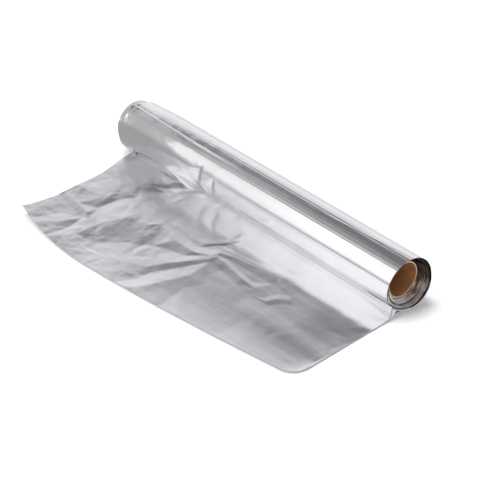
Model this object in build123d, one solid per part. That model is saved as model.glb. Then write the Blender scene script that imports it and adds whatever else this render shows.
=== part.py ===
# Household aluminium foil roll: one web of foil wound on a cardboard core, with a length drawn out.
# X runs along the roll, -Y is the way the web is drawn out and Z is up. Sizes are in millimetres.
# The origin is on the table, under the core's axis and at the middle of the web's width.
import os
from math import cos, radians, sin

from build123d import *
from scipy.spatial import Delaunay

# Cardboard core
core_length = 300.0
core_bore = 28.0
core_wall = 1.0
core_drift = 9.0  # the core has slid this far towards the far end, -X

# Wound web
web_width = 300.0
roll_diameter = 42.4
foil_thickness = 0.3  # drawn thick enough to be a solid: one drawn turn stands for about thirty
wanted_gap = 0.3  # between the edges of neighbouring turns, adjusted a little to give whole turns
gap_depth = 5.0  # how far in from each end the turns stand apart: further in they are wound tight
core_clearance = 0.05
end_drift = 10.5  # the inner turns have slid this far towards the far end
far_shoulder_radius = 4.0  # they are rounded over where they stand out there
far_shoulder_steps = 2
near_slant = 4.5  # the outer turn is skewed, so its near edge falls this far back at the top and the front
flat_spot = 4.0  # the outer turn lies flat on the table this far behind the core's axis

# Drawn-out sheet, with its reach from the core's axis to the free edge
strip_length = 14.0  # flat stretch in front of the axis, before the first crease
far_reach = 134.0
bow_reach = 143.5
near_reach = 119.0
bow_place = 0.27  # share of the width, from the far edge, where the reach is longest
bow_power = 1.4  # how soon the free edge falls back from there towards the near corner
near_corner_radius = 13.0
near_corner_steps = 4
free_edge_steps = 10
crease_height = 1.2
gather = 7.5  # the folds draw the far edge in this much
gather_width = 135.0
gather_out = 0.35  # share of the way out where that is reached
corner_lift = 6.0
corner_lift_width = 85.0
corner_lift_length = 60.0

# Corners of the creased facets: share across from the far edge, share of the way out from the
# flat strip to the free edge, and share of the crease height
creases = [
    (0.51, 0.38, 0.80),  # hub of the star of folds
    (0.32, 0.34, 0.15),  # from the hub back towards the far edge: a step up, its ridge and its foot
    (0.40, 0.38, 0.20),
    (0.34, 0.41, 0.55),
    (0.40, 0.46, 0.65),
    (0.47, 0.47, 0.70),
    (0.41, 0.54, 0.05),
    (0.46, 0.51, 0.10),
    (0.43, 0.76, 0.70),  # pleat from the hub towards the free edge: ridge, valley, lip and foot
    (0.46, 0.64, 0.75),
    (0.45, 0.90, 0.10),
    (0.48, 0.67, 0.15),
    (0.50, 0.83, 0.75),
    (0.53, 0.64, 0.65),
    (0.53, 0.85, 0.05),
    (0.56, 0.64, 0.10),
    (0.56, 0.28, 0.20),  # from the hub towards the near edge: two ridges with a valley between
    (0.57, 0.32, 0.65),
    (0.68, 0.29, 0.50),
    (0.61, 0.37, 0.05),
    (0.70, 0.36, 0.05),
    (0.58, 0.42, 0.60),
    (0.68, 0.46, 0.40),
    (0.64, 0.51, 0.05),
    (0.50, 0.15, 0.90),  # swelling where the web leaves the roll
    (0.30, 0.16, 0.60),
    (0.70, 0.15, 1.00),
    (0.88, 0.15, 1.00),
    (0.12, 0.35, 0.90),  # panels by the far edge
    (0.15, 0.50, 0.05),
    (0.21, 0.64, 0.70),
    (0.24, 0.52, 0.80),
    (0.19, 0.28, 0.20),
    (0.26, 0.79, 0.05),
    (0.35, 0.63, 0.05),
    (0.34, 0.85, 0.55),
    (0.10, 0.64, 0.55),
    (0.10, 0.70, 0.05),
    (0.13, 0.83, 0.35),
    (0.78, 0.58, 0.05),  # long low wave by the near corner
    (0.80, 0.67, 0.60),
    (0.92, 0.69, 0.60),
    (0.83, 0.80, 0.05),
    (0.76, 0.44, 0.45),
]
# Heights along the two side edges and the free edge, in the same shares
far_edge_creases = [(0.28, 0.15), (0.43, 0.40), (0.57, 0.15), (0.72, 0.30)]
near_edge_creases = [(0.25, 0.08), (0.50, 0.25), (0.72, 0.10)]
free_edge_low = 0.05
free_edge_wave = 0.30

# Sizes that follow
core_radius = core_bore / 2 + core_wall
roll_radius = roll_diameter / 2
build_up = roll_radius - core_radius - core_clearance - foil_thickness
turn_count = round(build_up / (foil_thickness + wanted_gap) + 0.25)
pitch = build_up / (turn_count - 0.25)
half_step = pitch / 2
back_center = roll_radius
front_center = roll_radius + half_step
axis_height = roll_radius + half_step / 2
far_end = -web_width / 2
near_end = web_width / 2
core_middle = -core_drift


def back_half(turn, inset):
    # Half a turn up the back of the roll, from bottom to top
    return CenterArc((0, back_center), roll_radius - turn * pitch - inset, -90, 180)


def front_half(turn, inset):
    # Half a turn down the front of the roll, about a centre half a pitch higher, which makes a spiral
    return CenterArc((0, front_center), roll_radius - turn * pitch - half_step - inset, 90, 180)


def outer_wrap(inset):
    # One face of the web from the flat strip, under the roll and loosely up its back to the top
    corner = roll_radius - flat_spot
    return [
        Line((-strip_length, inset), (flat_spot, inset)),
        CenterArc((flat_spot, corner), corner - inset, -90, 90),
        Line((roll_radius - inset, corner), (roll_radius - inset, back_center)),
        CenterArc((0, back_center), roll_radius - inset, 0, 90),
    ]


def turns(inset):
    # One face of the web from the top of the roll in through every turn but the innermost
    run = [front_half(0, inset)]
    for turn in range(1, turn_count - 1):
        run += [back_half(turn, inset), front_half(turn, inset)]
    return run


def band(side, start, length):
    # The strip of section between two faces of the web, drawn out along X
    edges = side[0] + side[1]
    edges.append(Line(side[0][0] @ 0, side[1][0] @ 0))
    edges.append(Line(side[0][-1] @ 1, side[1][-1] @ 1))
    return extrude(make_face(Plane.YZ.offset(start) * Curve(edges)), amount=length, dir=(1, 0, 0))


def tight_turns(start, length):
    # Everything inside the first spiral turn, with a hole for the core and a step where the web laps itself
    first = front_half(0, 0)
    second = back_half(1, 0)
    outline = Curve([first, second, Line(second @ 1, first @ 0)])
    hole = Pos(0, axis_height) * Circle(core_radius + core_clearance)
    return extrude(Plane.YZ.offset(start) * (make_face(outline) - hole), amount=length, dir=(1, 0, 0))


def wound_web():
    start = far_end - end_drift
    length = web_width + end_drift
    gaps = (turns(foil_thickness), turns(pitch))
    cut_length = end_drift + gap_depth
    web = tight_turns(start, length)
    web -= band(gaps, start, cut_length)
    web -= band(gaps, near_end - cut_length, cut_length)
    web += band((outer_wrap(0), outer_wrap(foil_thickness)), start, length)
    return web - near_funnel() - near_skew() - far_shoulder()


def turned(points):
    # A solid turned about the core's axis from (place along X, radius) points
    outline = Polyline([(x, 0, axis_height + radius) for x, radius in points], close=True)
    return revolve(make_face(outline), Axis((0, 0, axis_height), (1, 0, 0)))


def near_skew():
    # Cuts the near end along a slanting plane that leaves the bottom and the back whole
    slope = near_slant / roll_diameter
    slant = Plane((near_end, 0, 0), z_dir=(1, -slope, slope))
    beyond = slant * Pos(0, 0, roll_radius) * Box(3 * roll_diameter, 3 * roll_diameter, roll_diameter)
    above = Pos(near_end, 0, roll_diameter + pitch) * Box(roll_diameter, 3 * roll_diameter, 2 * roll_diameter)
    return beyond & above


def near_funnel():
    return turned([
        (near_end - end_drift, 0),
        (near_end - end_drift, core_radius),
        (near_end, roll_radius),
        (near_end + end_drift, roll_radius),
        (near_end + end_drift, 0),
    ])


def far_shoulder():
    # Leaves the turns inside the outer one standing out at the far end, rounded over
    outside = roll_diameter + strip_length
    inside = roll_radius - pitch
    foot = inside - far_shoulder_radius
    points = [
        (far_end, inside),
        (far_end, outside),
        (far_end - 2 * end_drift, outside),
        (far_end - 2 * end_drift, foot),
    ]
    for step in range(far_shoulder_steps + 1):
        angle = radians(90 * step / far_shoulder_steps)
        along = far_end - end_drift + far_shoulder_radius * (1 - cos(angle))
        points.append((along, foot + far_shoulder_radius * sin(angle)))
    return turned(points)


def reach(across):
    # Distance from the core's axis to the free edge, bowed out near the far side
    if across < bow_place:
        return bow_reach - (bow_reach - far_reach) * (1 - across / bow_place) ** 2
    fall = (across - bow_place) / (1 - bow_place)
    return bow_reach - (bow_reach - near_reach) * fall ** bow_power


def lift(across, distance):
    # Extra height where the far corner curls up off the table
    from_side = max(0, 1 - across * web_width / corner_lift_width)
    from_edge = max(0, 1 - (reach(across) - distance) / corner_lift_length)
    return corner_lift * from_side ** 2 * from_edge ** 2


def drawn_in(across, out):
    # How far the folds have drawn the web in from its far edge
    return gather * min(1, out / gather_out) * max(0, 1 - across * web_width / gather_width) ** 2


def sheet_point(across, out, share):
    distance = strip_length + out * (reach(across) - strip_length)
    height = crease_height * share + lift(across, distance)
    return Vector(far_end + across * web_width + drawn_in(across, out), -distance, height)


def near_corner():
    # The near corner is rounded, in points evenly spaced round its arc
    across_radius = near_corner_radius / web_width
    out_radius = near_corner_radius / (near_reach - strip_length)
    points = []
    for step in range(near_corner_steps + 1):
        angle = radians(90 * step / near_corner_steps)
        across = 1 - across_radius * (1 - sin(angle))
        out = 1 - out_radius * (1 - cos(angle))
        points.append((across, out, free_edge_low))
    return points


def sheet_rim():
    # The outline, from the strip's far corner along the far edge, the free edge and the near edge
    rim = [(0, 0, 0)]
    rim += [(0, out, share) for out, share in far_edge_creases]
    straight = 1 - near_corner_radius / web_width
    for step in range(free_edge_steps):
        share = free_edge_wave if step % 2 else free_edge_low
        rim.append((straight * step / free_edge_steps, 1, share))
    rim += near_corner()
    rim += [(1, out, share) for out, share in reversed(near_edge_creases)]
    rim.append((1, 0, 0))
    return rim


def facet(corners):
    return Face(Wire.make_polygon(corners))


def drawn_out_sheet():
    # Flat facets between the crease points, folded along straight lines, then given the web's thickness
    rim = sheet_rim()
    corners = rim + creases
    flat = [(across * web_width, out * bow_reach) for across, out, share in corners]
    low = [sheet_point(*corner) for corner in corners]
    up = Vector(0, 0, foil_thickness)
    high = [point + up for point in low]
    faces = []
    for a, b, c in Delaunay(flat).simplices:
        faces.append(facet([low[a], low[b], low[c]]))
        faces.append(facet([high[a], high[b], high[c]]))
    for here in range(len(rim)):
        after = (here + 1) % len(rim)
        faces.append(facet([low[here], low[after], high[after], high[here]]))
    return Solid(Shell(faces))


def core_tube():
    ring = Circle(core_radius) - Circle(core_bore / 2)
    start = Plane((core_middle - core_length / 2, 0, axis_height), z_dir=(1, 0, 0))
    return extrude(start * ring, amount=core_length)


def foil():
    return wound_web() + drawn_out_sheet()


os.makedirs("parts", exist_ok=True)
export_step(core_tube(), "parts/core_tube.step")
export_step(foil(), "parts/foil.step")
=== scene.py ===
# A roll of household foil on a cardboard core, with a creased length drawn out over the table
import random
from math import atan2, cos, exp, pi, radians, sin, sqrt

import bmesh
import bpy
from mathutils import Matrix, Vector, noise
from mathutils.bvhtree import BVHTree
from mathutils.geometry import delaunay_2d_cdt


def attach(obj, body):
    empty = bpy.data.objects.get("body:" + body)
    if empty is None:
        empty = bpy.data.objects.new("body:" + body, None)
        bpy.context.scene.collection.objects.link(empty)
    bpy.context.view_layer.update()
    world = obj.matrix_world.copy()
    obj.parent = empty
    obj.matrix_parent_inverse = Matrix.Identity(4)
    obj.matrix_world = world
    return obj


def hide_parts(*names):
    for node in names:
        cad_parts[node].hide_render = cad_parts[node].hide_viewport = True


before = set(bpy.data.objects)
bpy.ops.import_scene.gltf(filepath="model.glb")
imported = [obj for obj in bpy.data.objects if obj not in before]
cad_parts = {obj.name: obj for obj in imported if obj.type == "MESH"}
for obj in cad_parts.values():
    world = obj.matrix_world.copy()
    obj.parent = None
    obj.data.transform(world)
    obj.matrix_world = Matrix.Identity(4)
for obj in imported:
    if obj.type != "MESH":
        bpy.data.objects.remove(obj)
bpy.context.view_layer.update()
scene = bpy.context.scene
mm = 0.001


def newMaterial(name):
    material = bpy.data.materials.new(name)
    material.use_nodes = True
    tree = material.node_tree
    return material, tree, tree.nodes["Principled BSDF"]


def addNode(tree, kind, **settings):
    node = tree.nodes.new(kind)
    for key, value in settings.items():
        setattr(node, key, value)
    return node


def mathNode(tree, operation, first, second=None):
    node = addNode(tree, "ShaderNodeMath", operation=operation)
    for socket, value in zip(node.inputs, (first, second)):
        if isinstance(value, (int, float)):
            socket.default_value = value
        elif value is not None:
            tree.links.new(value, socket)
    return node.outputs[0]


def times(tree, first, second):
    return mathNode(tree, "MULTIPLY", first, second)


def sumNode(tree, weighted):
    total = None
    for source, weight in weighted:
        part = times(tree, source, weight)
        total = part if total is None else mathNode(tree, "ADD", total, part)
    return total


def splitNode(tree, vector):
    node = addNode(tree, "ShaderNodeSeparateXYZ")
    tree.links.new(vector, node.inputs[0])
    return node.outputs


def rampNode(tree, source, stops):
    node = addNode(tree, "ShaderNodeValToRGB")
    band = node.color_ramp
    while len(band.elements) < len(stops):
        band.elements.new(0.5)
    for element, (place, colour) in zip(band.elements, stops):
        element.position = place
        element.color = (*colour, 1)
    tree.links.new(source, node.inputs["Fac"])
    return node.outputs["Color"]


def noiseNode(tree, vector, scale, detail=3.0, roughness=0.5):
    node = addNode(tree, "ShaderNodeTexNoise")
    node.inputs["Scale"].default_value = scale
    node.inputs["Detail"].default_value = detail
    node.inputs["Roughness"].default_value = roughness
    tree.links.new(vector, node.inputs["Vector"])
    return node.outputs["Fac"]


def stretched(tree, source, scale):
    node = addNode(tree, "ShaderNodeMapping")
    node.inputs["Scale"].default_value = scale
    tree.links.new(source, node.inputs["Vector"])
    return node.outputs["Vector"]


def stretchedNoise(tree, source, scale, detail=2, roughness=0.5):
    return noiseNode(tree, stretched(tree, source, scale), 1, detail, roughness)


def mapRange(tree, source, low, high):
    node = addNode(tree, "ShaderNodeMapRange")
    node.inputs["To Min"].default_value = low
    node.inputs["To Max"].default_value = high
    tree.links.new(source, node.inputs["Value"])
    return node.outputs["Result"]


def fadeNode(tree, source, ends):
    # ends: where the fade starts and stops, and its value at each
    node = addNode(tree, "ShaderNodeMapRange", interpolation_type="SMOOTHSTEP")
    for socket, value in zip(("From Min", "From Max", "To Min", "To Max"), ends):
        node.inputs[socket].default_value = value
    tree.links.new(source, node.inputs["Value"])
    return node.outputs["Result"]


def addBump(tree, shader, source, strength, distance):
    node = addNode(tree, "ShaderNodeBump")
    node.inputs["Strength"].default_value = strength
    node.inputs["Distance"].default_value = distance
    tree.links.new(source, node.inputs["Height"])
    tree.links.new(node.outputs["Normal"], shader.inputs["Normal"])


def newPiece(name, bm, materials):
    mesh = bpy.data.meshes.new(name)
    bm.to_mesh(mesh)
    bm.free()
    for material in materials:
        mesh.materials.append(material)
    piece = bpy.data.objects.new(name, mesh)
    scene.collection.objects.link(piece)
    return piece


# bright outer face: streaks along the roll, and one long crease over its top; heights in millimetres
brightFace = {
    "tones": [(0.3, (0.87, 0.87, 0.88)), (0.7, (0.92, 0.92, 0.925))], "roughness": (0.07, 0.14),
    "streaks": (1.2, 620, 1), "streakHeight": 0.21, "bands": (1, 150, 1), "bandHeight": 0.5, "patches": (30, 60, 1),
    "creaseMiddle": -75 * mm, "creaseRound": 76.7 * mm, "creaseBow": 0.241, "creaseSharpness": 1150,
    "creaseHeight": 0.4,
    "creased": (-0.09, 0.02, 1, 0.2), "mottle": (42, 75, 1), "mottleHeight": 0.5,
    "farRim": (-0.157, -0.138, 1, 0), "crumple": (330, 260, 1), "crumpleHeight": 0.5,
}


def brightFoil():
    look = brightFace
    material, tree, shader = newMaterial("foil_bright")
    uv = addNode(tree, "ShaderNodeUVMap", uv_map="web").outputs["UV"]
    parts = splitNode(tree, uv)
    streaks = stretchedNoise(tree, uv, look["streaks"], 2, 0.6)
    bands = stretchedNoise(tree, uv, look["bands"])
    patches = stretchedNoise(tree, uv, look["patches"], 3)
    fromMiddle = mathNode(tree, "ABSOLUTE", mathNode(tree, "SUBTRACT", parts["X"], look["creaseMiddle"]))
    bend = times(tree, mathNode(tree, "POWER", fromMiddle, 2), look["creaseBow"])
    line = mathNode(tree, "SUBTRACT", look["creaseRound"], bend)
    away = mathNode(tree, "ABSOLUTE", mathNode(tree, "SUBTRACT", parts["Y"], line))
    crease = mathNode(tree, "SUBTRACT", 1, times(tree, away, look["creaseSharpness"]))
    creased = fadeNode(tree, parts["X"], look["creased"])
    crease = times(tree, mathNode(tree, "MAXIMUM", crease, 0), creased)
    crumple = times(tree, stretchedNoise(tree, uv, look["crumple"]), fadeNode(tree, parts["X"], look["farRim"]))
    mottle = times(tree, stretchedNoise(tree, uv, look["mottle"]), creased)
    tree.links.new(rampNode(tree, patches, look["tones"]), shader.inputs["Base Color"])
    tree.links.new(mapRange(tree, patches, *look["roughness"]), shader.inputs["Roughness"])
    shader.inputs["Metallic"].default_value = 1
    relief = sumNode(tree, [(streaks, look["streakHeight"]), (bands, look["bandHeight"]),
                            (crease, look["creaseHeight"]), (crumple, look["crumpleHeight"]),
                            (mottle, look["mottleHeight"])])
    addBump(tree, shader, relief, 1, mm)
    return material


# satin inner face, seen on the drawn-out length, with fine crazing on its creased half and a painted shade darkening
# the base colour there; heights in millimetres
satinFace = {
    "tones": [(0, (0.8, 0.795, 0.818)), (0.7, (0.93, 0.925, 0.948))], "toneRange": (0.28, 0.68), "creasedPaintedShade": -0.28,
    "roughness": (0.14, 0.2), "creasedRoughness": 0.06, "creased": (-0.06, 0.05, 1, 0.1),
    "patches": (40, 28, 1), "grain": (900, 120, 1), "grainHeight": 0.006, "ripples": (7, 85, 1), "rippleHeight": 0.16,
    "cells": (62, 90, 1), "cellWarp": (0.4, 0.4, 0), "warpScale": 45, "cellEdge": 0.06, "cellHeight": 0.28,
}


def satinFoil():
    look = satinFace
    material, tree, shader = newMaterial("foil_satin")
    uv = addNode(tree, "ShaderNodeUVMap", uv_map="web").outputs["UV"]
    parts = splitNode(tree, uv)
    patches = stretchedNoise(tree, uv, look["patches"], 4)
    grain = stretchedNoise(tree, uv, look["grain"])
    ripples = stretchedNoise(tree, uv, look["ripples"])
    warp = addNode(tree, "ShaderNodeTexNoise")
    warp.inputs["Scale"].default_value = look["warpScale"]
    tree.links.new(uv, warp.inputs["Vector"])
    shaken = addNode(tree, "ShaderNodeVectorMath", operation="ADD")
    tree.links.new(stretched(tree, uv, look["cells"]), shaken.inputs[0])
    tree.links.new(stretched(tree, warp.outputs["Color"], look["cellWarp"]), shaken.inputs[1])
    cells = addNode(tree, "ShaderNodeTexVoronoi", feature="DISTANCE_TO_EDGE", voronoi_dimensions="2D")
    cells.inputs["Scale"].default_value = 1
    tree.links.new(shaken.outputs["Vector"], cells.inputs["Vector"])
    creased = fadeNode(tree, parts["X"], look["creased"])
    crazing = times(tree, mathNode(tree, "MINIMUM", cells.outputs["Distance"], look["cellEdge"]), creased)
    # painted shade: the base colour is made darker over the creased far half
    tone = mathNode(tree, "ADD", mapRange(tree, patches, *look["toneRange"]), times(tree, creased, look["creasedPaintedShade"]))
    tree.links.new(rampNode(tree, tone, look["tones"]), shader.inputs["Base Color"])
    gloss = mathNode(tree, "ADD", mapRange(tree, patches, *look["roughness"]),
                     times(tree, creased, look["creasedRoughness"]))
    tree.links.new(gloss, shader.inputs["Roughness"])
    shader.inputs["Metallic"].default_value = 1
    relief = sumNode(tree, [(grain, look["grainHeight"]), (crazing, look["cellHeight"]),
                            (ripples, look["rippleHeight"])])
    addBump(tree, shader, relief, 1, mm)
    return material


# brown kraft board, wound in a spiral, with a paler cut rim
kraft = {
    "wall": [(0.35, (0.35, 0.165, 0.06)), (0.65, (0.55, 0.285, 0.11))],
    "rim": [(0.3, (0.6, 0.43, 0.3)), (0.7, (0.8, 0.63, 0.48))], "rimFacing": 0.7,
    "fibres": (220, 900, 900), "clouds": (60, 60, 60), "roughness": 0.85, "bump": 0.4, "fibreHeight": 0.1 * mm,
}


def kraftBoard():
    material, tree, shader = newMaterial("kraft_board")
    place = addNode(tree, "ShaderNodeTexCoord").outputs["Object"]
    fibres = stretchedNoise(tree, place, kraft["fibres"], 4, 0.65)
    clouds = stretchedNoise(tree, place, kraft["clouds"], 3)
    wall = rampNode(tree, times(tree, mathNode(tree, "ADD", fibres, clouds), 0.5), kraft["wall"])
    rim = rampNode(tree, fibres, kraft["rim"])
    facing = splitNode(tree, addNode(tree, "ShaderNodeNewGeometry").outputs["Normal"])
    onRim = mathNode(tree, "GREATER_THAN", mathNode(tree, "ABSOLUTE", facing["X"]), kraft["rimFacing"])
    mix = addNode(tree, "ShaderNodeMix", data_type="RGBA")
    tree.links.new(onRim, mix.inputs["Factor"])
    tree.links.new(wall, mix.inputs["A"])
    tree.links.new(rim, mix.inputs["B"])
    tree.links.new(mix.outputs["Result"], shader.inputs["Base Color"])
    shader.inputs["Roughness"].default_value = kraft["roughness"]
    addBump(tree, shader, fibres, kraft["bump"], kraft["fibreHeight"])
    return material


# foil web: sizes in metres, the grid's columns run across it and its rows along it
web = {
    "farSide": -150 * mm, "width": 300 * mm, "thickness": 0.08 * mm,
    "radius": 21.2 * mm, "halfStep": 0.3 * mm, "flatSpot": 4 * mm, "strip": 14 * mm, "tuck": radians(70),
    "farReach": 134 * mm, "bowReach": 143.5 * mm, "nearReach": 119 * mm, "bowPlace": 0.27, "bowPower": 1.4,
    "cornerRadius": 13 * mm, "lift": 6 * mm, "liftWidth": 85 * mm, "liftLength": 60 * mm,
    "gather": 7.5 * mm, "gatherOut": 0.35, "gatherAcross": 0.45,
    "skew": 10 * mm, "skewFrom": 45 * mm, "turn": 133 * mm, "tuckBack": (30 * mm, 3 * mm), "looseFrom": 40 * mm,
    "columns": 240, "sheetRows": 106, "rollRows": 94,
}

# folds of the drawn-out length in millimetres: place along the roll, distance out, height
folds = {
    "bandTop": [(-54, 57, 0.3), (-29, 63, 0.4), (-11, 64, 0.6), (-1, 60, 1.2)],
    "bandRidge": [(-49, 66, 1.2), (-29, 72, 1.3), (-10, 72, 1.4), (2, 65, 1.5)],
    "darkFoot": [(-39, 88, 0.2), (-26, 83, 0.3), (-11, 79, 0.6), (0, 69, 1.3)],
    "pleatRidge": [(-20, 110, 1.2), (-14, 97, 1.4), (-3, 81, 1.4), (6, 68, 1.4)],
    "pleatValley": [(-15, 128, 0.6), (-13, 112, 0.7), (-6, 99, 0.8), (1, 85, 0.9), (7, 74, 1.1)],
    "pleatLip": [(-7, 136, 1.6), (0, 119, 1.7), (6, 105, 1.6), (10, 93, 1.4), (9, 79, 1.2)],
    "pleatFoot": [(2, 138, 1.3), (11, 121, 1.3), (19, 107, 1.1), (25, 95, 0.9), (20, 82, 0.8)],
    "rightTop": [(2, 53, 1), (17, 48, 0.7), (33, 45, 0.6), (41, 42, 0.4)],
    "rightRidge": [(5, 58, 1.5), (20, 53, 1.1), (37, 50, 0.9), (53, 48, 0.8), (59, 49, 0.6)],
    "rightValley": [(15, 59, 0.8), (34, 58, 0.4), (48, 57, 0.3), (62, 55, 0.3)],
    "lowTop": [(9, 61, 1), (22, 61, 0.7), (37, 63, 0.4), (49, 65, 0.2)],
    "lowRidge": [(8, 63, 1.5), (24, 65, 1.1), (41, 68, 0.9), (55, 69, 0.5)],
    "lowFoot": [(9, 69, 1), (22, 72, 0.5), (42, 75, 0.4), (56, 77, 0.3)],
    "hub": [(3, 61, 1.6)],
    "flag": [(52, 38, 0.3)],
    "domeLine": [(-25, 61, 0.8), (-11, 57, 1), (-1, 46, 0.9)],
    "domeFoot": [(-7, 60, 0.5), (0, 49, 0.3)],
    "slash": [(1, 42, 0.8), (1, 35, 1.1), (-2, 26, 0.6)],
    "slashFoot": [(-3, 40, 0.6), (-4, 33, 0.6), (-6, 24, 0.5)],
    "slashSide": [(6, 38, 0.5), (8, 27, 0.5)],
    "farPeak": [(-112, 72, 1), (-115, 58, 0.9), (-103, 56, 0.9)],
    "farValley": [(-107, 86, 0.3), (-106, 77, 0.1), (-104, 66, 0.1), (-96, 55, 0.4)],
    "panelRidge": [(-101, 101, 0.8), (-88, 97, 1.4), (-80, 81, 1.7), (-64, 74, 1.5), (-54, 67, 1.3)],
    "panelSide": [(-108, 41, 0.5), (-93, 54, 0.6), (-86, 47, 0.6), (-73, 53, 0.8)],
    "panelFoot": [(-73, 117, 0.1), (-55, 99, 0.1), (-45, 95, 0.1)],
    "lowPanel": [(-65, 128, 0.7), (-48, 123, 0.9), (-33, 116, 1.1)],
    "leftRidge": [(-140, 92, 1.2), (-123, 95, 1.3), (-107, 98, 1.3)],
    "leftFoot": [(-141, 97, 0.2), (-124, 100, 0.1), (-105, 103, 0.1)],
    "cornerMarks": [(-137, 113, 0.6), (-122, 114, 0.2), (-111, 120, 0.9), (-101, 121, 0.1), (-91, 122, 0.8),
                    (-82, 119, 0.1), (-76, 129, 0.7), (-66, 126, 0.1)],
    "crinkleTop": [(69, 72, 0.2), (73, 61, 0.2), (81, 56, 0.2)],
    "crinkle": [(73, 74, 0.35), (77, 65, 0.4), (85, 60, 0.35)],
    "crinkleFoot": [(78, 75, 0.1), (83, 68, 0.1), (90, 62, 0.1)],
    "nearSide": [(118, 52, 0.2), (136, 55, 0.3), (126, 65, 0.1), (147, 60, 0.2), (145, 73, 0.4)],
    "seamRidge": [(-91, 28, 0.7), (-89, 22, 0.8), (-82, 18, 0.8), (-70, 16, 0.7)],
    "seamValley": [(-88, 30, 0.3), (-80, 23, 0), (-69, 17, 0.3)],
    "seamLip": [(-74, 35, 0.5), (-74, 27, 0.8), (-59, 16, 0.8), (-51, 16, 0.6)],
    "seamFoot": [(-72, 37, 0.3), (-71, 29, 0.4), (-57, 18, 0.4)],
    "seamEdge": [(-68, 39, 0.5), (-69, 31, 0.6), (-58, 22, 0.6), (-48, 19, 0.5)],
    "farDark": [(-134, 31, 0.9), (-112, 28, 0.3), (-123, 45, 1)],
}

# how the folds and the finer crinkles are laid: heights and places in millimetres, shares across and of the way out
creasing = {
    "foldShare": 0.72, "marginEnd": 156, "marginSide": 152, "marginInner": 10, "marginOuter": 150,
    "marginColumns": 12, "marginRows": 8, "freeEdge": (0.1, 0.9), "farEdge": (0, 1.4), "nearEdge": (0, 0.6),
    "crinkles": [(11, 420, 0.16), (23, 1000, 0.08), (31, 2600, 0.05)], "crinkleEnds": 155, "crinkleOut": (8, 150),
    "settle": 0.03, "rough": 0.85, "calm": 0.15, "roughFall": (0.3, 0.62),
    "domeAlong": -38, "domeOut": 40, "domeLength": 34, "domeDepth": 19, "domeCalm": 0.85,
    "brim": 0.15, "brimWidth": 9 * mm,
}


def reach(across):
    # distance from the core's axis to the free edge, with the near corner rounded off
    if across < web["bowPlace"]:
        out = web["bowReach"] - (web["bowReach"] - web["farReach"]) * (1 - across / web["bowPlace"]) ** 2
    else:
        fall = (across - web["bowPlace"]) / (1 - web["bowPlace"])
        out = web["bowReach"] - (web["bowReach"] - web["nearReach"]) * fall ** web["bowPower"]
    past = max(0, 1 - (1 - across) * web["width"] / web["cornerRadius"])
    return out - web["cornerRadius"] * (1 - sqrt(1 - past * past))


def cornerLift(across, distance):
    fromSide = max(0, 1 - across * web["width"] / web["liftWidth"])
    fromEdge = max(0, 1 - (reach(across) - distance) / web["liftLength"])
    return web["lift"] * fromSide ** 2 * fromEdge ** 2


def facetNet(points, lines):
    # flat facets over points in plan, folded along the lines
    found = delaunay_2d_cdt([point.xy for point in points], lines, [], 0, 1e-7)
    corners = []
    for place, origins in zip(found[0], found[3]):
        if origins:
            height = points[origins[0]].z
        else:
            height = min(points, key=lambda point: (point.xy - place).length).z
        corners.append(Vector((place.x, place.y, height)))
    return BVHTree.FromPolygons(corners, found[2])


def netHeight(net, x, distance):
    hit = net.ray_cast(Vector((x, distance, 1)), Vector((0, 0, -1)))[0]
    return hit.z if hit else 0


def lineSteps(start, count):
    return [(start + step, start + step + 1) for step in range(count - 1)]


def foldNet():
    points = []
    lines = []
    for line in folds.values():
        lines += lineSteps(len(points), len(line))
        points += [Vector((x, out, height * creasing["foldShare"])) * mm for x, out, height in line]
    shake = random.Random(5)
    inner, outer = creasing["marginInner"], creasing["marginOuter"]
    for step in range(creasing["marginColumns"] + 1):
        x = creasing["marginEnd"] * (2 * step / creasing["marginColumns"] - 1)
        points.append(Vector((x, inner, 0)) * mm)
        points.append(Vector((x, outer, shake.uniform(*creasing["freeEdge"]))) * mm)
    for step in range(1, creasing["marginRows"]):
        out = inner + (outer - inner) * step / creasing["marginRows"]
        points.append(Vector((-creasing["marginSide"], out, shake.uniform(*creasing["farEdge"]))) * mm)
        points.append(Vector((creasing["marginSide"], out, shake.uniform(*creasing["nearEdge"]))) * mm)
    return facetNet(points, lines)


def crinkleNet(seed, count, height):
    shake = random.Random(seed)
    points = []
    for step in range(count):
        x = shake.uniform(-creasing["crinkleEnds"], creasing["crinkleEnds"])
        points.append(Vector((x, shake.uniform(*creasing["crinkleOut"]), shake.uniform(-height, height))) * mm)
    return facetNet(points, [])


def smoothStep(low, high, value):
    share = min(1, max(0, (value - low) / (high - low)))
    return share * share * (3 - 2 * share)


# swelling where the web leaves the roll: places along the roll in metres, heights and distances out in millimetres
swelling = {
    "nearEnd": (105 * mm, 150 * mm), "farRise": (-72 * mm, -108 * mm), "farFall": (-105 * mm, -148 * mm),
    "plateau": 1.3, "plateauGain": 0.2, "middle": (-30 * mm, 30 * mm), "nearSink": 0.45,
    "plateauEnd": 46, "nearShift": 8, "plateauFoot": 125,
    "top": 5.6, "topShake": 0.4, "farGain": 0.6, "nearDrop": 0.35, "corner": (-136 * mm, -150 * mm), "cornerDrop": 0.85,
    "start": 14, "farStart": 4, "run": 21, "farRun": 16, "curve": 2, "farCurve": 0.4,
    "cling": 3, "clingFrom": 17, "clingFade": 2.5,
    "axis": 21.25, "held": 19.7, "heldGain": 1.2, "heldNear": (108 * mm, 122 * mm), "heldFar": (-122 * mm, -138 * mm),
    "groove": 0.15, "grooveWidth": 0.6, "edgeFrom": 0.7, "edgeRun": 0.3,
    "wave": 0.25, "waveEnds": (55 * mm, 80 * mm), "waveOut": 89, "waveWidth": 9,
}


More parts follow.
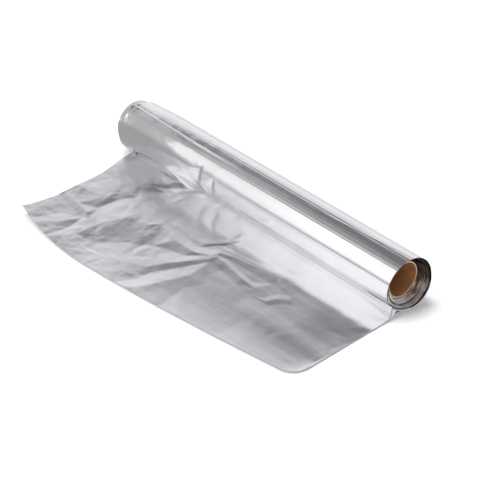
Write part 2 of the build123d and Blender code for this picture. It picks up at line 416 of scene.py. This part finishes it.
def swell(x, distance, out):
    # the web clings to the roll's front, highest towards its far end, leaves it at a crest and sinks to the table
    form = swelling
    away = distance / mm
    near = smoothStep(*form["nearEnd"], x)
    high = smoothStep(*form["farRise"], x) * (1 - smoothStep(*form["farFall"], x))
    shake = noise.noise(Vector((x * 30, 4.2, 0)))
    plateau = (form["plateau"] + form["plateauGain"] * smoothStep(*form["middle"], x)) * (1 - form["nearSink"] * near)
    plateau *= 1 - smoothStep(form["plateauEnd"] - form["nearShift"] * near, form["plateauFoot"], away)
    top = form["top"] + form["topShake"] * shake + form["farGain"] * high
    top *= 1 - form["nearDrop"] * near
    top *= 1 - form["cornerDrop"] * smoothStep(*form["corner"], x)
    slack = 1 - (away - form["start"] - form["farStart"] * high) / (form["run"] + form["farRun"] * high)
    slack = min(1, max(0, slack)) ** (form["curve"] - form["farCurve"] * high)
    crest = max(plateau, plateau + (top - plateau) * slack)
    crest += form["cling"] * high * exp(-max(0, away - form["clingFrom"]) / form["clingFade"])
    held = form["held"] + form["heldGain"] * max(smoothStep(*form["heldNear"], x), smoothStep(*form["heldFar"], x))
    under = form["axis"] - sqrt(held ** 2 - min(held - 0.5, max(0, away)) ** 2)
    rise = min(crest, max(0, under)) - form["groove"] * exp(-((under - crest) / form["grooveWidth"]) ** 2)
    edge = max(0, (out - form["edgeFrom"]) / form["edgeRun"]) ** 2
    wave = smoothStep(*form["waveEnds"], x) * exp(-((away - form["waveOut"]) / form["waveWidth"]) ** 2)
    return max(0, rise + edge + form["wave"] * wave) * mm


def sheetHeight(x, distance, across, out, foldTree, crinkleTrees):
    form = creasing
    settle = smoothStep(0, form["settle"], out)
    rough = form["calm"] + form["rough"] * (1 - smoothStep(*form["roughFall"], across))
    dome = ((x / mm - form["domeAlong"]) / form["domeLength"]) ** 4
    dome += ((distance / mm - form["domeOut"]) / form["domeDepth"]) ** 4
    rough *= 1 - form["domeCalm"] * exp(-dome)  # the dome is smooth
    brim = max(0, 1 - (1 - across) * web["width"] / form["brimWidth"])
    height = swell(x, distance, out) + cornerLift(across, distance)
    height += settle * netHeight(foldTree, x, distance)
    height += settle * rough * sum(netHeight(net, x, distance) for net in crinkleTrees)
    height += settle * brim * form["brim"] * mm * noise.noise(Vector((x * 150, distance * 130, 2)))
    return max(0, height)


def woundPlace(distance):
    # place and outward direction on the web's path under and round the roll, from the strip's front edge
    radius, flat, step = web["radius"], web["flatSpot"], web["halfStep"]
    run = web["strip"] + flat
    if distance <= run:
        return Vector((distance - web["strip"], 0)), Vector((0, -1))
    distance -= run
    corner = radius - flat
    arcs = [(Vector((flat, corner)), corner, -pi / 2, pi / 2), (None, flat, 0, 0),
            (Vector((0, radius)), radius, 0, pi / 2),
            (Vector((0, radius + step)), radius - step, pi / 2, pi),
            (Vector((0, radius)), radius - 2 * step, -pi / 2, web["tuck"])]
    for centre, size, start, turn in arcs:
        length = size * turn if centre else size
        if distance <= length or turn == web["tuck"]:
            break
        distance -= length
    if centre is None:
        return Vector((radius, corner + distance)), Vector((1, 0))
    angle = start + distance / size
    outward = Vector((cos(angle), sin(angle)))
    return centre + outward * size, outward


def woundLength():
    radius, flat, step = web["radius"], web["flatSpot"], web["halfStep"]
    arcs = (radius - flat) * pi / 2 + radius * pi / 2 + (radius - step) * pi + (radius - 2 * step) * web["tuck"]
    return web["strip"] + 2 * flat + arcs


# dents in the roll's front: place along it in millimetres, angle from its top in degrees, depth in millimetres
dents = {
    "firstRim": [(-57, 114, 0), (-67, 79, 0), (-55, 58, 0), (-53, 84, 0), (-54, 112, 0)],
    "firstEdge": [(-55.5, 61, 0.4), (-56, 80, 0.85), (-56.5, 100, 0.15)],
    "secondRim": [(-42, 140, 0), (-53, 110, 0), (-39, 72, 0), (-37, 104, 0), (-38.5, 138, 0)],
    "secondEdge": [(-39.5, 74, 0.4), (-40, 92, 0.75), (-41, 112, 0.1)],
    "around": [(-75, 55, 0), (-75, 150, 0), (-25, 150, 0), (-25, 55, 0)],
}


def dentNet():
    points = []
    lines = []
    for line in dents.values():
        lines += lineSteps(len(points), len(line))
        points += [Vector((x * mm, radians(low) * web["radius"], -deep * mm)) for x, low, deep in line]
    return facetNet(points, lines)


# shape of the outer turn: heights in millimetres, places along the roll in metres, angles down its front from its top
outerTurn = {
    "wave": 0.06, "ripple": 0.025, "dentAngle": 3,
    "strip": 1.5, "stripRise": (radians(-5), radians(45)), "stripFall": (radians(50), radians(110)),
    "stripEnds": (-45 * mm, -105 * mm), "farEnd": (-118 * mm, -150 * mm),
    "bulge": 3, "bulgeRise": (radians(80), radians(142)), "bulgeFall": (radians(150), radians(178)),
    "taper": 1.3, "taperEnds": (radians(-30), radians(25)), "rim": 0.6, "rimWidth": 9 * mm,
    "stretch": 4 * mm, "stretchRise": (0, radians(60)), "stretchFall": (radians(80), radians(140)), "stretchLoss": 0.9,
}


def rollOffset(x, outward):
    # shallow waves, a fuller strip below the long crease at the far half,
    # and a far end that tapers at its top and bulges low down
    form = outerTurn
    angle = atan2(-outward.x, outward.y)
    wave = noise.noise(Vector((x * 5, outward.x * 7, outward.y * 7))) * form["wave"]
    wave += noise.noise(Vector((x * 14 + 9, outward.x * 16, outward.y * 16))) * form["ripple"]
    full = smoothStep(*form["stripRise"], angle) * (1 - smoothStep(*form["stripFall"], angle))
    wave += form["strip"] * full * smoothStep(*form["stripEnds"], x)
    low = smoothStep(*form["bulgeRise"], angle) * (1 - smoothStep(*form["bulgeFall"], angle))
    taper = form["taper"] * (1 - smoothStep(*form["taperEnds"], angle))
    wave += smoothStep(*form["farEnd"], x) * (form["bulge"] * low - taper)
    rim = max(0, 1 - (x - web["farSide"]) / form["rimWidth"])
    wave += form["rim"] * rim * noise.noise(Vector((x * 300, outward.x * 7, outward.y * 7)))
    return wave * mm


def rollPlace(x, distance, wound, dentTree):
    form = outerTurn
    place, outward = woundPlace(distance)
    angle = atan2(-outward.x, outward.y)
    loose = smoothStep(web["strip"] + web["flatSpot"], web["looseFrom"], distance)
    under = swell(x, -place.x, 0) if distance < web["strip"] else 0
    sunk = netHeight(dentTree, x, angle * web["radius"]) if abs(angle) < form["dentAngle"] else 0
    place = place + outward * loose * (rollOffset(x, outward) + sunk)
    # the turn runs askew, and slips back where it is tucked in
    backFrom, backTo = web["tuckBack"]
    slip = max(0, distance - web["skewFrom"]) / web["turn"]
    slip *= 1 - smoothStep(wound - backFrom, wound - backTo, distance)
    stretch = form["stretch"] * smoothStep(*form["stretchRise"], angle) * smoothStep(*form["farEnd"], x) * loose
    stretch *= 1 - form["stretchLoss"] * smoothStep(*form["stretchFall"], angle)
    return x - web["skew"] * slip - stretch, place.x, max(0, place.y) + under


def buildWeb():
    rows = web["sheetRows"] + web["rollRows"]
    bm = bmesh.new()
    bmesh.ops.create_grid(bm, x_segments=web["columns"], y_segments=rows, size=0.5)
    layer = bm.loops.layers.uv.new("web")
    foldTree = foldNet()
    dentTree = dentNet()
    crinkleTrees = [crinkleNet(*kind) for kind in creasing["crinkles"]]
    wound = woundLength()
    along = {}
    for vert in bm.verts:
        across = min(1, max(0, vert.co.x + 0.5))
        row = round((vert.co.y + 0.5) * rows)
        x = web["farSide"] + across * web["width"]
        if row <= web["sheetRows"]:
            out = 1 - row / web["sheetRows"]
            distance = web["strip"] + out * (reach(across) - web["strip"])
            gathered = smoothStep(0, web["gatherOut"], out) * max(0, 1 - across / web["gatherAcross"]) ** 2
            x += web["gather"] * gathered
            vert.co = (x, -distance, sheetHeight(x, distance, across, out, foldTree, crinkleTrees))
            along[vert] = -distance
        else:
            distance = wound * (row - web["sheetRows"]) / web["rollRows"]
            vert.co = rollPlace(x, distance, wound, dentTree)
            along[vert] = distance - web["strip"]
    for edge in bm.edges:
        edge.smooth = not edge.is_boundary
    for face in bm.faces:
        face.smooth = True
        for loop in face.loops:
            loop[layer].uv = (loop.vert.co.x, along[loop.vert])
    bmesh.ops.reverse_faces(bm, faces=bm.faces[:])  # the roll's outside is the sheet's underside
    piece = newPiece("foil_web", bm, [brightFoil(), satinFoil()])
    thick = piece.modifiers.new("thickness", "SOLIDIFY")
    thick.thickness = web["thickness"]
    thick.offset = -1
    thick.material_offset = 1
    thick.material_offset_rim = 1
    return piece


# wound turns inside the outer one: bundles of edges at the near end, a rounded stack of edges at the far end
turns = {
    "axisHeight": 21.35 * mm, "bore": 15.05 * mm, "outside": 20.4 * mm, "steps": 128,
    "nearOuter": 149.2 * mm, "nearInner": 140.5 * mm, "nearFrom": 100 * mm, "slant": 4.5 * mm,
    "bundles": 6, "bundleTurns": 3, "bundleShake": 0.9, "turnShake": 0.2, "gapWidth": 0.42 * mm, "gapDepth": 3 * mm,
    "farEnd": -162.8 * mm, "farOutside": 19.3 * mm, "shoulder": 3 * mm, "shoulderTurns": 12,
    "endTurns": 5, "endShake": 0.3,
    "waist": 19.2 * mm, "waistFrom": -125 * mm, "waistTo": 124 * mm, "waistShoulder": 126 * mm,
    "nearWave": 0.9 * mm, "farWave": 0.35 * mm, "farLean": 180, "farSag": (-1.6, -0.9), "sink": 0.008,
}

# edges of the wound turns: thin streaks round the end; at the near end painted shade darkens them towards the top and
# lightens them towards the bottom, and their colours are painted reflections and highlights
edgeLook = {
    "rings": 2000, "round": 24, "frontShare": 0.3, "roughness": (0.5, 0.25), "metallic": 0.8,
    # near end: near-black is a painted reflection of the dark overhead, brown a painted reflection of the kraft core,
    # white painted highlights
    "nearPaintedShadeSlope": 7, "nearPaintedLightTones": [(0.4, (0.008, 0.009, 0.02)), (0.47, (0.12, 0.085, 0.07)),
                                     (0.55, (0.42, 0.32, 0.26)), (0.59, (0.97, 0.97, 0.97))],
    "farPaintedShadeSlope": 0, "farTones": [(0.3, (0.3, 0.3, 0.31)), (0.5, (0.58, 0.58, 0.59)), (0.7, (0.88, 0.88, 0.885))],
}


def turnEdges(name, paintedShadeSlope, tones):
    material, tree, shader = newMaterial(name)
    parts = splitNode(tree, addNode(tree, "ShaderNodeTexCoord").outputs["Object"])
    front = parts["Y"]
    high = mathNode(tree, "SUBTRACT", parts["Z"], turns["axisHeight"])
    radius = mathNode(tree, "SQRT", mathNode(tree, "ADD", times(tree, high, high), times(tree, front, front)))
    ring = addNode(tree, "ShaderNodeCombineXYZ")
    tree.links.new(times(tree, radius, edgeLook["rings"]), ring.inputs["X"])
    tree.links.new(times(tree, high, edgeLook["round"]), ring.inputs["Y"])
    tree.links.new(times(tree, front, edgeLook["round"]), ring.inputs["Z"])
    streaks = noiseNode(tree, ring.outputs["Vector"], 1, 3, 0.6)
    # painted shade: higher on the near end is darker and lower is lighter, for how the light falls there; the far stack
    # gets none
    paintedShading = times(tree, mathNode(tree, "ADD", high, times(tree, front, edgeLook["frontShare"])), paintedShadeSlope)
    tree.links.new(rampNode(tree, mathNode(tree, "SUBTRACT", streaks, paintedShading), tones), shader.inputs["Base Color"])
    tree.links.new(mapRange(tree, streaks, *edgeLook["roughness"]), shader.inputs["Roughness"])
    shader.inputs["Metallic"].default_value = edgeLook["metallic"]
    return material


def nearComb():
    # points (place along the roll, radius) from the outside in
    shake = random.Random(3)
    deep = turns["outside"] - turns["bore"]
    fine = (deep / turns["bundles"] - turns["gapWidth"]) / turns["bundleTurns"]
    radius = turns["outside"]
    points = []
    for bundle in range(turns["bundles"]):
        share = (radius - turns["bore"]) / deep
        top = turns["nearInner"] + (turns["nearOuter"] - turns["nearInner"]) * share
        top += shake.uniform(-turns["bundleShake"], turns["bundleShake"]) * mm
        for step in range(turns["bundleTurns"]):
            edge = top + shake.uniform(-turns["turnShake"], turns["turnShake"]) * mm
            points += [(edge, radius), (edge, radius - fine)]
            radius -= fine
        bottom = top - turns["gapDepth"]
        points += [(bottom, radius), (bottom, radius - turns["gapWidth"])]
        radius -= turns["gapWidth"]
    return points


def farStack():
    # points from the outside in, in steps of one turn over the shoulder and across the end
    shake = random.Random(8)
    foot = turns["farOutside"] - turns["shoulder"]
    rings = []
    for step in range(turns["shoulderTurns"]):
        angle = pi / 2 * (1 - step / turns["shoulderTurns"])
        rings.append((turns["farEnd"] + turns["shoulder"] * (1 - cos(angle)), foot + turns["shoulder"] * sin(angle)))
    for step in range(turns["endTurns"] + 1):
        along = turns["farEnd"] + shake.uniform(0, turns["endShake"]) * mm
        rings.append((along, foot + (turns["bore"] - foot) * step / turns["endTurns"]))
    points = [rings[0]]
    for here, after in zip(rings, rings[1:]):
        points += [(here[0], after[1]), after]
    return points


def buildTurns():
    bm = bmesh.new()
    waist = [(turns["waistFrom"], turns["waist"]), (turns["waistTo"], turns["waist"]),
             (turns["waistShoulder"], turns["outside"])]
    outline = nearComb() + farStack()[::-1] + waist
    ring = [bm.verts.new((x, 0, turns["axisHeight"] + radius)) for x, radius in outline]
    edges = [bm.edges.new((ring[step - 1], ring[step])) for step in range(len(ring))]
    bmesh.ops.spin(bm, geom=ring + edges, cent=(0, 0, turns["axisHeight"]), axis=(1, 0, 0), angle=2 * pi,
                   steps=turns["steps"], use_merge=True)
    bmesh.ops.recalc_face_normals(bm, faces=bm.faces[:])
    for face in bm.faces:
        face.material_index = 0 if face.calc_center_median().x > turns["nearFrom"] else 1
    slope = turns["slant"] / (2 * web["radius"])
    for vert in bm.verts:
        around = vert.co - Vector((vert.co.x, 0, turns["axisHeight"]))
        share = (around.length - turns["bore"]) / (turns["outside"] - turns["bore"])
        wave = noise.noise(Vector((around.length * 420, around.y * 90, around.z * 90)))
        if vert.co.x > turns["nearFrom"]:
            vert.co.x += share * (turns["nearWave"] * wave - slope * (web["radius"] - around.y + around.z))
        else:
            vert.co.x += share * turns["farWave"] * wave
            sag = Vector((max(0, -around.z) * turns["farLean"], *turns["farSag"])) * mm
            vert.co += share * smoothStep(*outerTurn["farEnd"], vert.co.x) * sag
        vert.co -= around * (turns["sink"] * share * (1 + wave))
    return newPiece("foil_turns", bm, [turnEdges("turn_edges_painted_light", edgeLook["nearPaintedShadeSlope"], edgeLook["nearPaintedLightTones"]),
                                       turnEdges("turn_stack", edgeLook["farPaintedShadeSlope"], edgeLook["farTones"])])


foilWeb = buildWeb()
print("foil web", len(foilWeb.data.polygons))
foilTurns = buildTurns()
print("foil turns", len(foilTurns.data.polygons))
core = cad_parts["core_tube"]
core.data.materials.clear()
core.data.materials.append(kraftBoard())
print("core material")

# pale floor
paleFloor = {"halfSize": 4, "drop": 0.3 * mm, "patchScale": 9, "roughness": 0.9, "specular": 0.1,
             "tones": [(0.3, (0.88, 0.88, 0.885)), (0.7, (0.91, 0.91, 0.915))]}
bm = bmesh.new()
bmesh.ops.create_grid(bm, x_segments=1, y_segments=1, size=paleFloor["halfSize"])
bmesh.ops.translate(bm, verts=bm.verts[:], vec=(0, 0, -paleFloor["drop"]))
floorMaterial, tree, shader = newMaterial("pale_floor")
patches = noiseNode(tree, addNode(tree, "ShaderNodeTexCoord").outputs["Object"], paleFloor["patchScale"])
tree.links.new(rampNode(tree, patches, paleFloor["tones"]), shader.inputs["Base Color"])
shader.inputs["Roughness"].default_value = paleFloor["roughness"]
shader.inputs["Specular IOR Level"].default_value = paleFloor["specular"]
floor = newPiece("floor", bm, [floorMaterial])
floor.visible_glossy = False

# studio: light all round near the table, dimmer overhead and in front
studio = {
    "backShare": 0.35, "front": (-0.25, 0.25, 0.52, 1.0), "low": (-0.06, 0.02, 0.8, 1.0),
    "sky": [(0.5, (0.93, 0.925, 0.95)), (0.64, (0.86, 0.855, 0.885)), (0.735, (0.74, 0.736, 0.759)),
            (0.79, (0.52, 0.517, 0.533)), (0.845, (0.19, 0.188, 0.196))],
}
world = bpy.data.worlds.new("studio")
scene.world = world
world.use_nodes = True
tree = world.node_tree
background = tree.nodes["Background"]
parts = splitNode(tree, addNode(tree, "ShaderNodeTexCoord").outputs["Generated"])
height = mathNode(tree, "ADD", parts["Z"], times(tree, parts["Y"], studio["backShare"]))
tree.links.new(rampNode(tree, height, studio["sky"]), background.inputs["Color"])
dimmed = times(tree, fadeNode(tree, parts["Y"], studio["front"]), fadeNode(tree, parts["Z"], studio["low"]))
tree.links.new(dimmed, background.inputs["Strength"])

# soft boxes: the two above light the floor and aren't mirrored in the foil
lamps = {
    "overhead": {"place": (-0.5, 0.3, 1.85), "aim": (0, -0.05, 0), "size": (1, 1), "power": 29, "mirrored": False},
    "fill": {"place": (-0.7, -0.75, 1.3), "aim": (0, -0.05, 0), "size": (1, 1), "power": 12, "mirrored": False},
    "front_wide": {"place": (-0.022, -0.6, 0.375), "aim": (-0.022, 0, 0), "size": (1.224, 0.77), "power": 1.46,
                   "mirrored": True},
    "front_near": {"place": (0.12, -0.586, 0.406), "aim": (0.12, 0, 0), "size": (1.2, 0.7), "power": 0.48,
                   "mirrored": True},
}


def areaLight(name, place, aim, size, power, mirrored):
    light = bpy.data.lights.new(name, "AREA")
    light.shape = "RECTANGLE"
    light.size, light.size_y = size
    light.energy = power
    lamp = bpy.data.objects.new(name, light)
    lamp.location = place
    lamp.rotation_mode = "QUATERNION"
    lamp.rotation_quaternion = (Vector(aim) - Vector(place)).to_track_quat("-Z", "Y")
    lamp.visible_camera = False
    lamp.visible_glossy = mirrored
    scene.collection.objects.link(lamp)


for name, lamp in lamps.items():
    areaLight(name, **lamp)

# camera at the photo's angle
view = {"azimuth": radians(47.313), "elevation": radians(35.126), "distance": 1.5438, "aim": (0.00062, -0.03305, 0),
        "lens": 150, "sensor": 36}
level = cos(view["elevation"])
back = Vector((sin(view["azimuth"]) * level, -cos(view["azimuth"]) * level, sin(view["elevation"])))
lens = bpy.data.cameras.new("camera")
lens.lens = view["lens"]
lens.sensor_width = view["sensor"]
camera = bpy.data.objects.new("camera", lens)
camera.location = Vector(view["aim"]) + back * view["distance"]
camera.rotation_mode = "QUATERNION"
camera.rotation_quaternion = (-back).to_track_quat("-Z", "Y")
scene.collection.objects.link(camera)
scene.camera = camera
scene.view_settings.view_transform = "Standard"
print("studio and camera")

for piece in (foilWeb, foilTurns):
    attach(piece, "root")
    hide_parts("foil")
